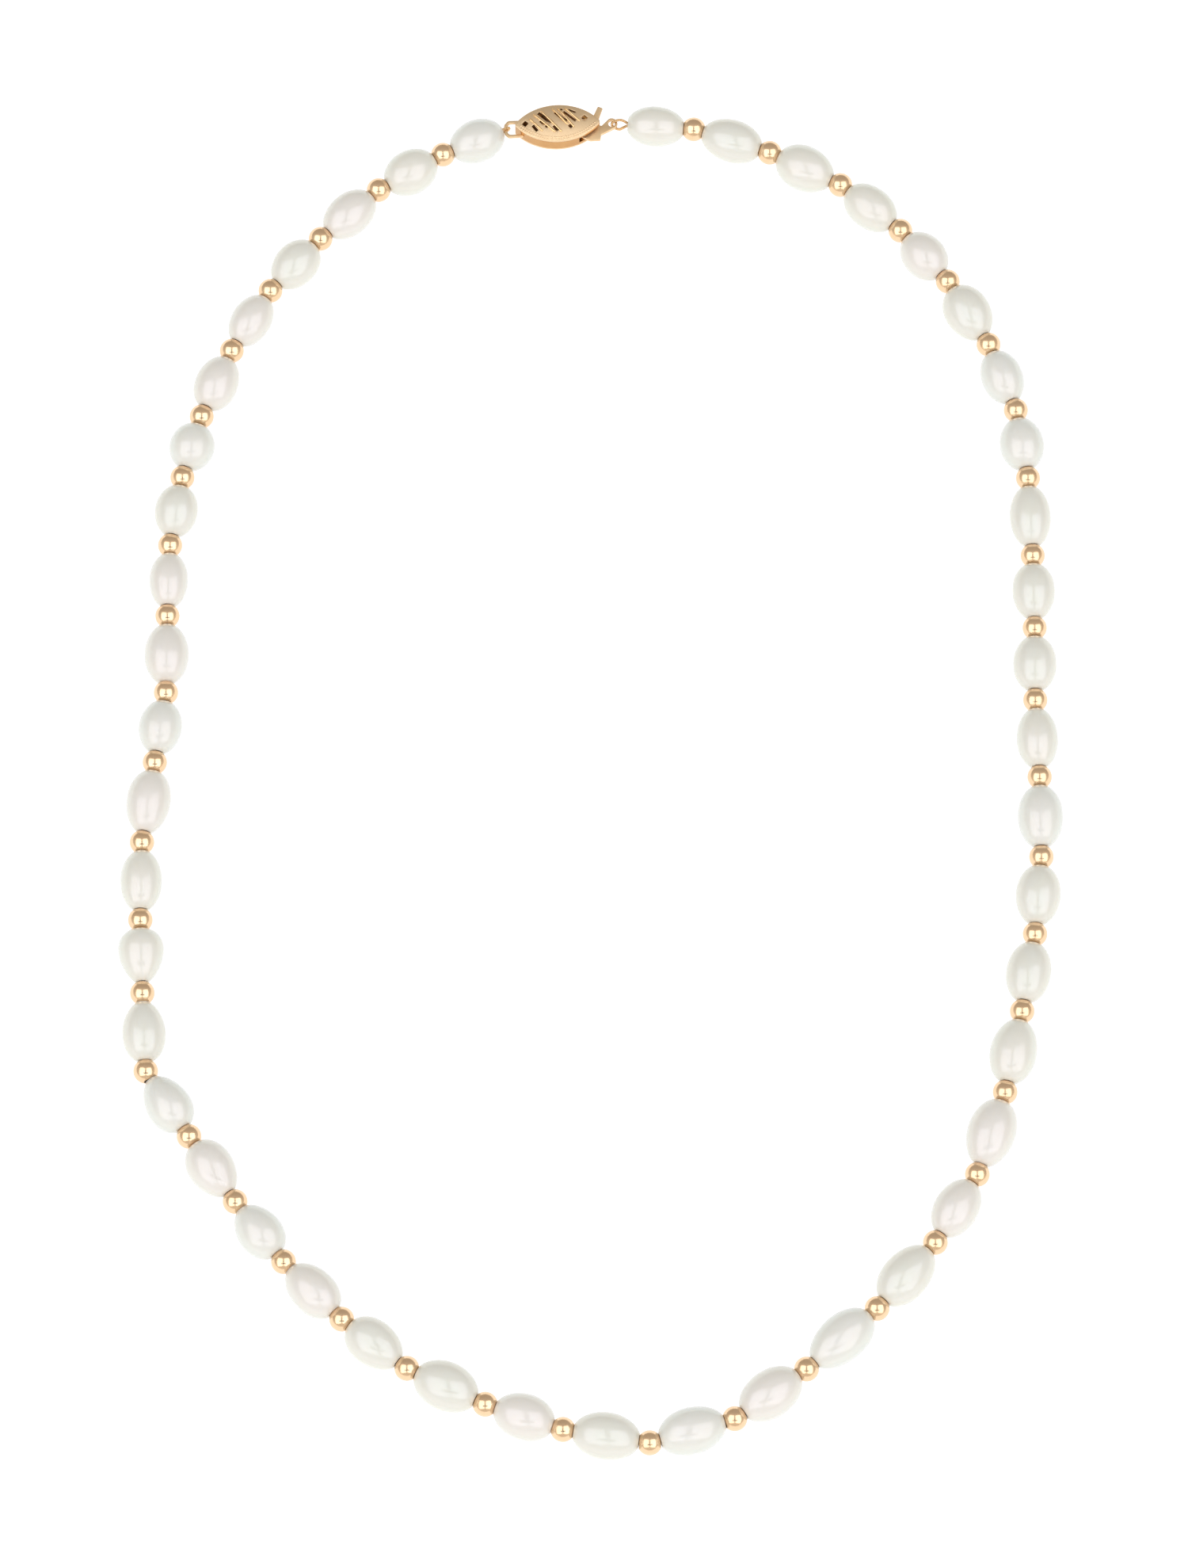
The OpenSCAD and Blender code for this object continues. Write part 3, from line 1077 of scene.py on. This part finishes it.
# ---------------------------------------------------------------- the clasp


@dataclass
class ClaspLayout:
    """Sizes that the clasp's pieces share, about the middle of its box."""

    length: float = 10.6
    width: float = 5.0
    # The pointed oval's full length over the length with its points blunted.
    blunting: float = 1.03
    wall_top: float = 0.9
    cover: float = 0.65
    cover_rim: float = 0.25
    plate_middle: float = -0.25
    plate: float = 0.4
    eye: Point2 = (6.8, 0.17)
    bar: Point2 = (-6.5, -0.1)

    def __post_init__(self) -> None:
        """Places the layout between the two pivots that the frame gives."""
        eye, bar = joint_place("hook_turn"), joint_place("clasp_turn")
        way = eye - bar
        local = Vector(self.eye) - Vector(self.bar)
        turn = math.atan2(way.y, way.x) - math.atan2(local.y, local.x)
        spin = Matrix.Rotation(turn, 4, "Z")
        origin = bar - spin @ Vector((*self.bar, 0))
        self.place = Matrix.Translation(origin * MM) @ spin
        half = self.length * self.blunting / 2
        self.bow = (half**2 + (self.width / 2) ** 2) / self.width

    def marquise(self, inset: float = 0.0, steps: int = 60) -> Loop:
        """Pointed oval with blunted points.

        Args:
            inset: How far inside the clasp's outline it lies.
            steps: Spans in each of its two arcs.

        Returns:
            The outline, counter-clockwise, with the upper arc first.
        """
        radius = self.bow - inset
        lift = self.bow - self.width / 2
        reach = math.asin((self.length / 2 - inset) / radius)
        xs = [radius * math.sin(reach * (1 - 2 * i / steps)) for i in range(steps + 1)]
        upper = [(x, math.sqrt(radius**2 - x**2) - lift) for x in xs]
        return upper + [(-x, -y) for x, y in upper]

    def crown(self, x: float, y: float) -> float:
        """Height of the cover's domed top.

        Args:
            x: Place along the clasp.
            y: Place across it.

        Returns:
            The height.
        """
        fall = self.cover - self.cover_rim
        across = ((self.width / 2) ** 2 + fall**2) / (2 * fall)
        lengthwise = ((self.length / 2) ** 2 + fall**2) / (2 * fall)
        radius = math.sqrt(lengthwise**2 - x**2) + across - lengthwise
        return self.wall_top + self.cover - across + math.sqrt(radius**2 - y**2)

    def part(
        self, name: str, data: MeshData, metal: Metal, body: str, *replaced: str
    ) -> bpy.types.Object:
        """Makes one gold piece of the clasp in the layout's place.

        Args:
            name: Name of the piece.
            data: Vertices in the layout's millimetres, and faces.
            metal: Its finish.
            body: CAD body that it rides on.
            *replaced: CAD nodes that it stands for.

        Returns:
            The object.
        """
        return piece(name, data, metal.value, body, replaced, self.place)


@dataclass
class ClaspBox:
    """The marquise box: filigree cover, rim of bricks, soldered bars, wall, back and loop."""

    layout: ClaspLayout
    # Openings of the cover: middle, length, width and slant in degrees.
    openings: tuple[tuple[float, float, float, float, float], ...] = (
        (-4.05, 0.05, 0.62, 0.6, 45),
        (-2.85, -0.65, 0.95, 0.36, -55),
        (-1.93, 0.0, 0.75, 0.26, -45),
        (-1.4, -0.52, 0.34, 0.26, -45),
        (-1.62, 0.68, 2.1, 0.42, -45),
        (-0.25, -0.8, 0.85, 0.38, -55),
        (0.42, 0.74, 1.95, 0.4, -45),
        (1.58, -0.6, 0.5, 0.34, -50),
        (0.54, 1.78, 0.32, 0.26, -20),
        (1.55, 0.78, 2.0, 0.32, -42),
        (1.85, 1.52, 1.05, 0.24, -25),
        (3.41, 0.5, 0.62, 0.6, 45),
    )
    # Both ends of each bar.
    bars: tuple[tuple[float, float, float, float], ...] = (
        (-3.45, 0.62, -1.95, -1.05),
        (-2.95, 1.22, -0.35, -1.3),
        (-2.0, 1.62, 0.42, -1.25),
        (-0.55, 1.9, 1.25, -0.35),
        (0.1, 1.95, 2.05, -0.72),
        (1.05, 1.9, 2.75, 0.1),
    )
    cover_edge: float = 0.05
    cover_grid: float = 0.2
    bar_radius: float = 0.135
    # Height of the solder's swellings, and how many come to a millimetre.
    bar_swelling: float = 0.025
    bar_waves: float = 2.2
    bar_lift: float = 0.01
    # Depth to which a bar's end sinks into the cover, and the share of it that does.
    bar_sink: float = 0.12
    bar_blunt: float = 0.08
    bar_step: float = 0.06
    bar_sides: int = 14
    # Rows of bricks: inset from the rim, and the half step at which the row begins.
    brick_rows: tuple[tuple[float, int], ...] = ((0.2, 1), (0.5, 2))
    brick_step: float = 0.3
    brick_margin: float = 0.55
    # Half a brick's size along the rim and across it, its height over its own foot, the depth
    # of the foot and the height of its middle over the cover.
    brick: Point2 = (0.115, 0.13)
    brick_height: float = 0.06
    brick_sunk: float = 0.02
    brick_peak: float = 0.042
    # Upper half of the end loop, from the inside of its bar round to the outside.
    loop_half: tuple[Point2, ...] = (
        (-6.3, 0.45), (-6.05, 0.75), (-4.3, 0.75), (-4.3, 1.12), (-6.2, 1.15), (-6.7, 0.6),
    )
    loop_thick: float = 0.36
    loop_edge: float = 0.09

    def build(self) -> None:
        """Makes the pieces of the box."""
        self.build_cover()
        self.build_bars()
        self.build_bricks()
        self.build_loop()
        for node, metal in (
            # The wall's gold is painted darker and redder, as painted shade under the cover.
            ("clasp_wall", Metal.WALL),
            ("clasp_back", Metal.PLATE),
            ("clasp_post", Metal.PLATE),
        ):
            dress_cad(node, metal.value)

    def build_cover(self) -> None:
        """Pierced and domed cover, cast and satined."""
        lay = self.layout
        holes = []
        for x, y, long, wide, slant in self.openings:
            c, s = math.cos(math.radians(slant)), math.sin(math.radians(slant))
            corners = oblong(-long / 2, -wide / 2, long / 2, wide / 2)
            turned = [(x + a * c - b * s, y + a * s + b * c) for a, b in corners]
            holes.append(softened(turned, cut=0.09))
        edge, grid = self.cover_edge, self.cover_grid
        data = pressed_plate(lay.marquise(), holes, lay.wall_top, lay.crown, edge, grid)
        lay.part("clasp_filigree_cover", data, Metal.SATIN, "clasp", "clasp_cover")
        log.info("filigree cover with %d openings", len(holes))

    def build_bars(self) -> None:
        """Round wires soldered along the slots and burnished by wear."""
        parts = []
        steps = 64
        for number, (x1, y1, x2, y2) in enumerate(self.bars):
            run = []
            for t in (i / steps for i in range(steps + 1)):
                x, y = x1 + (x2 - x1) * t, y1 + (y2 - y1) * t
                past = max(0.0, abs(2 * t - 1) - 1 + self.bar_blunt) / self.bar_blunt
                height = self.layout.crown(x, y) + self.bar_lift - self.bar_sink * past
                run.append(Vector((x, y, height)))

            def section(length: float, angle: float, shift: float = number * 3.7) -> float:
                """Radius of a wire that solder has thickened here and there."""
                spot = Vector((length * self.bar_waves, shift, math.cos(angle) * 0.4))
                return self.bar_radius + self.bar_swelling * noise.noise(spot)

            parts.append(tube(even_path(run, self.bar_step), section, self.bar_sides))
        self.layout.part("clasp_filigree_bars", join_data(parts), Metal.WIRE, "clasp")

    def build_bricks(self) -> None:
        """Two rows of low cast bricks along the front of the cover's rim."""
        parts = []
        steps = 200
        for inset, first in self.brick_rows:
            lower = self.layout.marquise(inset, steps)[: steps + 1]
            run = even_path([Vector((-x, -y, 0)) for x, y in lower], self.brick_step / 2)
            for i in range(first, len(run) - 1, 2):
                if abs(run[i].x) < self.layout.length / 2 - self.brick_margin:
                    parts.append(self.one_brick(run[i], (run[i + 1] - run[i - 1]).normalized()))
        self.layout.part("clasp_rim_bricks", join_data(parts), Metal.SATIN, "clasp")
        log.info("%d bricks on the rim", len(parts))

    def one_brick(self, here: Vector, course: Vector) -> MeshData:
        """One low brick: a flattened grain with its length across the rim.

        Args:
            here: Its middle.
            course: Direction of the rim there.

        Returns:
            The mesh data.
        """
        side = Vector((-course.y, course.x, 0))
        rings, sides = 5, 10
        along, across = self.brick
        verts = []
        for rise in (math.pi / 2 * r / rings for r in range(rings)):
            for a in (2 * math.pi * j / sides for j in range(sides)):
                flat = course * (along * squared(math.cos(a)))
                flat += side * (across * squared(math.sin(a)))
                p = here + flat * math.cos(rise) ** 0.5
                up = self.brick_height * math.sin(rise) - self.brick_sunk
                verts.append((p.x, p.y, self.layout.crown(p.x, p.y) + up))
        peak = self.layout.crown(here.x, here.y) + self.brick_peak
        verts.append((here.x, here.y, peak))
        faces = grid_faces(rings, sides, closed=False)
        top = (rings - 1) * sides
        faces += [(top + j, top + (j + 1) % sides, rings * sides) for j in range(sides)]
        faces.append(tuple(range(sides)))
        return verts, faces

    def build_loop(self) -> None:
        """Flat-wire loop that the last guard wire turns round."""
        flat = [(x, -y) for x, y in reversed(self.loop_half)] + list(self.loop_half)
        outline = softened([(x, y + self.layout.bar[1]) for x, y in flat], cut=0.2, steps=4)
        half = self.loop_thick / 2
        data = pressed_plate(outline, [], bottom=-half, top=half, edge=self.loop_edge)
        self.layout.part("clasp_end_loop", data, Metal.PLATE, "clasp", "end_loop")


@dataclass
class Hook:
    """The plate with its thumb flag and eye, and the sprung leaf folded over its tongue."""

    layout: ClaspLayout
    # Tip of the tongue, root of the leaf and the slot that straddles the post.
    tip: float = -3.4
    root: float = -3.1
    slot_end: float = -1.5
    slot_half: float = 0.5
    # Tongue and thumb flag as far as the eye, and the neck back from it.
    flag: tuple[Point2, ...] = (
        (-3.4, -1.0), (2.2, -1.0), (3.1, -1.6), (4.0, -2.0), (5.3, -2.0), (5.4, -1.3),
    )
    neck: tuple[Point2, ...] = ((5.5, -0.1), (4.8, 0.4), (3.7, 1.0), (-3.4, 1.0))
    eye_hole: float = 0.42
    eye_ring: float = 0.75
    # The leaf, from its root round the thumb tab and back.
    leaf_outline: tuple[Point2, ...] = (
        (-3.1, -0.9), (3.9, -0.7), (4.0, 0.0), (5.0, 0.0), (5.8, 2.0), (5.2, 2.3),
        (4.4, 0.7), (3.9, 0.7), (-3.1, 0.9),
    )
    leaf: float = 0.2
    leaf_gap: float = 0.1
    leaf_lift: float = 2.6
    catch: tuple[float, float, float, float] = (3.4, -0.6, 3.85, 0.6)
    catch_height: float = 0.2
    fold: float = 0.25
    fold_edges: Span = (0.5, 0.9)
    # How deep a raised part starts in the one that carries it.
    sunk: float = 0.05
    edge: float = 0.04
    plate_edge: float = 0.06

    def build(self) -> None:
        """Makes the plate and the leaf."""
        self.build_plate()
        self.build_leaf()

    def circle(self, radius: float, first: float, last: float, steps: int) -> Loop:
        """Arc about the eye.

        Args:
            radius: Its radius.
            first: Where it begins, in degrees.
            last: Where it ends.
            steps: Spans along it.

        Returns:
            Its points.
        """
        (x, y), step = self.layout.eye, (last - first) / steps
        turns = [math.radians(first + step * i) for i in range(steps + 1)]
        return [(x + radius * math.cos(a), y + radius * math.sin(a)) for a in turns]

    def slot(self, back: float) -> Loop:
        """Slot that straddles the post, with a round end.

        Args:
            back: Where its mouth lies along the clasp.

        Returns:
            Its points, from the upper side of the mouth round to the lower one.
        """
        half = self.slot_half
        arc = [math.radians(a) for a in range(90, -91, -20)]
        bend = [(self.slot_end + half * math.cos(a), half * math.sin(a)) for a in arc]
        return [(back, half), *bend, (back, -half)]

    def build_plate(self) -> None:
        """Rolled plate: forked tongue, thumb flag and the eye for the strand."""
        lay = self.layout
        bottom, top = lay.plate_middle - lay.plate / 2, lay.plate_middle + lay.plate / 2
        ring = self.circle(self.eye_ring, -56, 114, 10)
        hole = self.circle(self.eye_hole, 0, 360, 28)[:-1]
        outline = softened([*self.flag, *ring, *self.neck, *self.slot(self.tip)], cut=0.12)
        parts = [pressed_plate(outline, [hole], bottom, top, self.plate_edge)]
        near, far = self.fold_edges
        for low, high in ((-far, -near), (near, far)):
            block = softened(oblong(self.tip, low, self.tip + self.fold, high), cut=0.08)
            rise = top + self.leaf_gap + self.leaf
            parts.append(pressed_plate(block, [], top - self.sunk, rise, self.edge))
        lay.part("clasp_hook_plate", join_data(parts), Metal.PLATE, "hook", "hook_plate")

    def build_leaf(self) -> None:
        """Sprung leaf with its catch and its thumb tab, lifted from the fold."""
        lay = self.layout
        outline = softened([*self.leaf_outline, *self.slot(self.root)], cut=0.15, steps=4)
        step = softened(oblong(*self.catch), cut=0.08)
        rise = self.leaf + self.catch_height
        verts, faces = join_data(
            [
                pressed_plate(outline, [], 0.0, self.leaf, self.edge),
                pressed_plate(step, [], self.leaf - self.sunk, rise, self.edge),
            ]
        )
        c, s = math.cos(math.radians(self.leaf_lift)), math.sin(math.radians(self.leaf_lift))
        root, base = self.root, lay.plate_middle + lay.plate / 2 + self.leaf_gap
        lifted = [
            (root + (x - root) * c - z * s, y, base + (x - root) * s + z * c)
            for x, y, z in verts
        ]
        lay.part("clasp_spring_leaf", (lifted, faces), Metal.PLATE, "leaf", "spring_leaf")


@dataclass
class BullionGuards:
    """Fine coiled wire that the silk runs through where it would rub on the clasp."""

    strand: Strand
    outside: float = 0.36
    wire: float = 0.1
    pitch: float = 0.11
    wire_sides: int = 6
    turn_steps: int = 12
    path_steps: int = 8
    # One run of the hook's guard, from the pearl to the eye: distance from the eye's middle
    # along the strand and aside, and a height that both runs share with one that parts them.
    eye_run: tuple[tuple[float, float, float, float], ...] = (
        (2.65, 0.17, 0.0, 0.0),
        (2.05, 0.17, 0.0, 0.0),
        (1.6, 0.38, 0.0, 0.05),
        (1.1, 0.46, -0.2, 0.392),
        (0.65, 0.345, -0.25, 0.49),
        (0.28, 0.16, -0.25, 0.49),
        (0.08, 0.04, -0.25, 0.294),
    )
    bar_reach: float = 1.1
    bar_bend: float = 0.44

    def build(self) -> None:
        """Winds both guards, from inside their pearl round the metal and back."""
        ends = self.strand.stations
        over, under = (
            [(along, way * aside, level + way * part) for along, aside, level, part in self.eye_run]
            for way in (1, -1)
        )
        self.wind("hook", "right_11", ends[0], ends[1], [*over, *reversed(under)])
        reach, bend = self.bar_reach, self.bar_bend
        turns = [math.radians(90 + 22.5 * i) for i in range(9)]
        round_bar = [(bend * math.cos(a), 0.0, bend * math.sin(a)) for a in turns]
        run = [(reach, 0, bend), (reach / 2, 0, bend)]
        back = [(x, y, -z) for x, y, z in reversed(run)]
        self.wind("loop", "left_11", ends[-1], ends[-2], [*run, *round_bar, *back])

    def wind(
        self, end: str, body: str, pivot: Station, bead: Station, path: Sequence[Point3]
    ) -> None:
        """Winds one coil along its path.

        Args:
            end: Which end of the clasp it guards.
            body: CAD body that it rides on.
            pivot: Where the strand turns at the clasp.
            bead: The bead next to it.
            path: Points of the path from the pivot, along the strand, aside and up.
        """
        course = bead.centre - pivot.centre
        turn = Matrix.Rotation(math.atan2(course.y, course.x), 4, "Z")
        points = [pivot.centre + turn @ Vector(p) for p in path]
        smooth = smooth_path(points, self.path_steps)
        run = even_path(smooth, self.pitch / self.turn_steps)
        radius = (self.outside - self.wire) / 2
        coil = []
        for i, (point, (_, normal, side)) in enumerate(zip(run, path_frames(run))):
            a = 2 * math.pi * i / self.turn_steps
            coil.append(point + (normal * math.cos(a) + side * math.sin(a)) * radius)
        name, data = f"bullion_{end}", tube(coil, lambda _run, _a: self.wire / 2, self.wire_sides)
        piece(name, data, Metal.WIRE.value, body, [f"guard_{end}"])
        log.info("%s: %d turns", name, len(run) // self.turn_steps)


def squared(wave: float) -> float:
    """Pushes a sine towards its ends, which makes a round section squarer."""
    return math.copysign(abs(wave) ** 0.6, wave)


def dress_cad(node: str, finish: Gold) -> None:
    """Gives a CAD node that stays in view its finish.

    Args:
        node: Name of the node.
        finish: Its finish.
    """
    shown = frame["nodes"][node]
    shown.data.materials.clear()
    shown.data.materials.append(material_of(finish))


# ---------------------------------------------------------------- studio


@dataclass
class Studio:
    """Light table, two tall soft boxes, a white room and the camera above the strand."""

    target: Vector = field(default_factory=lambda: Vector((0.22, -2.56, 2.6)))
    distance: float = 1100.0
    tilt: float = 20.0
    lens: float = 206.7
    table_size: float = 6000.0
    table_glow: float = 0.86
    # The soft boxes: degrees aside from the camera's axis and above it, size and radiance.
    box_aside: float = 33.0
    box_above: float = -4.0
    box_size: Point2 = (1300.0, 1850.0)
    box_distance: float = 1300.0
    box_radiance: float = 1.44
    lamp_colour: str = "#f3f8ff"
    room_front: float = 0.78
    room_back: float = 0.5
    # Dark cards behind the camera: name, degrees below its axis, width and height.
    dark: tuple[tuple[str, float, float, float], ...] = (
        ("stand_bar", 17.0, 950.0, 190.0),
        ("stand_column", 2.0, 130.0, 620.0),
    )
    card_gap: float = 120.0

    def __post_init__(self) -> None:
        """Finds the directions to the camera, to the right of the view and up the view."""
        tilt = math.radians(self.tilt)
        self.back = Vector((0, -math.sin(tilt), math.cos(tilt)))
        self.right = Vector((1, 0, 0))
        self.up = self.back.cross(self.right)

    def build(self) -> None:
        """Sets the table, the lights, the dark cards and the camera."""
        self.table()
        self.lights()
        self.room()
        self.cards()
        self.camera()

    def way(self, right: float, above: float) -> Vector:
        """Direction that lies some degrees right of the camera's axis and some above it."""
        r, a = math.tan(math.radians(right)), math.tan(math.radians(above))
        return (self.back + self.right * r + self.up * a).normalized()

    def facing(self, way: Vector, distance: float) -> Matrix:
        """Place in a direction from the strand, turned to look back at it.

        Args:
            way: The direction.
            distance: How far away.

        Returns:
            The place, in metres.
        """
        right = self.up.cross(way).normalized()
        turn = Matrix((right, way.cross(right), way)).transposed().to_4x4()
        return Matrix.Translation((self.target + way * distance) * MM) @ turn

    def sheet(
        self, name: str, size: Point2, material: bpy.types.Material, place: Matrix | None = None
    ) -> None:
        """Sets a flat sheet as part of the stage.

        Args:
            name: Name of the sheet.
            size: Its width and height.
            material: Its finish.
            place: Its place, in metres.
        """
        mesh = bpy.data.meshes.new(name)
        w, h = size[0] / 2 * MM, size[1] / 2 * MM
        mesh.from_pydata([(x, y, 0) for x, y in oblong(-w, -h, w, h)], [], [(0, 1, 2, 3)])
        mesh.materials.append(material)
        put(name, mesh, place)

    def table(self) -> None:
        """White acrylic light table, lit faintly from below, which gives soft pale shadows."""
        material, tree = new_material("light_table_acrylic")
        diffuse = add_node(tree, "BsdfDiffuse", {"Color": linear("#9c9c9c")})
        glow = add_node(
            tree, "Emission", {"Color": linear("#ffffff"), "Strength": self.table_glow}
        )
        both = add_node(tree, "AddShader", {0: diffuse.outputs[0], 1: glow.outputs[0]})
        finish_shader(tree, both)
        self.sheet("light_table", (self.table_size, self.table_size), material)

    def lights(self) -> None:
        """Tall soft box on each side of the camera."""
        for name, aside in (
            ("soft_box_left", -self.box_aside),
            ("soft_box_right", self.box_aside),
        ):
            lamp = bpy.data.lights.new(name, "AREA")
            lamp.shape = "RECTANGLE"
            lamp.size, lamp.size_y = (side * MM for side in self.box_size)
            lamp.energy = self.box_radiance * math.pi * lamp.size * lamp.size_y
            lamp.color = linear(self.lamp_colour)[:3]
            put(name, lamp, self.facing(self.way(aside, self.box_above), self.box_distance))

    def room(self) -> None:
        """White room, brighter on the camera's side than behind the top of the strand."""
        world = bpy.data.worlds.new("studio_room")
        world.use_nodes = True
        tree = world.node_tree
        tree.nodes.clear()
        place = add_node(tree, "TexCoord").outputs["Generated"]
        split = add_node(tree, "SeparateXYZ", {0: place})
        glow = add_node(
            tree,
            "MapRange",
            {
                "Value": split.outputs["Y"],
                "From Min": -0.6,
                "From Max": 0.8,
                "To Min": self.room_front,
                "To Max": self.room_back,
            },
        )
        walls = add_node(
            tree, "Background", {"Color": linear("#fffaf2"), "Strength": glow.outputs[0]}
        )
        add_node(tree, "OutputWorld", {"Surface": walls.outputs[0]})
        bpy.context.scene.world = world

    def cards(self) -> None:
        """Dark bar and stand behind the camera, which the pearls and beads reflect."""
        material, tree = new_material("dark_card")
        finish_shader(
            tree,
            add_node(
                tree, "BsdfPrincipled", {"Base Color": linear("#3a2c2c"), "Roughness": 0.9}
            ),
        )
        for name, below, width, height in self.dark:
            place = self.facing(self.way(0.0, -below), self.distance + self.card_gap)
            self.sheet(name, (width, height), material, place)

    def camera(self) -> None:
        """Camera above the front of the strand, with a long lens."""
        data = bpy.data.cameras.new("camera")
        data.lens = self.lens
        data.sensor_width = 36.0
        data.clip_end = 20.0
        data.dof.use_dof = False
        scene = bpy.context.scene
        scene.camera = put("camera", data, self.facing(self.back, self.distance))
        scene.view_settings.view_transform = "Standard"


def main() -> None:
    """Builds the necklace's looks, piece by piece, and the studio round it."""
    logging.basicConfig(level=logging.INFO, format="%(message)s")
    strand = Strand()
    strand.build()
    layout = ClaspLayout()
    ClaspBox(layout).build()
    Hook(layout).build()
    BullionGuards(strand).build()
    Studio().build()


if __name__ == "__main__":
    main()
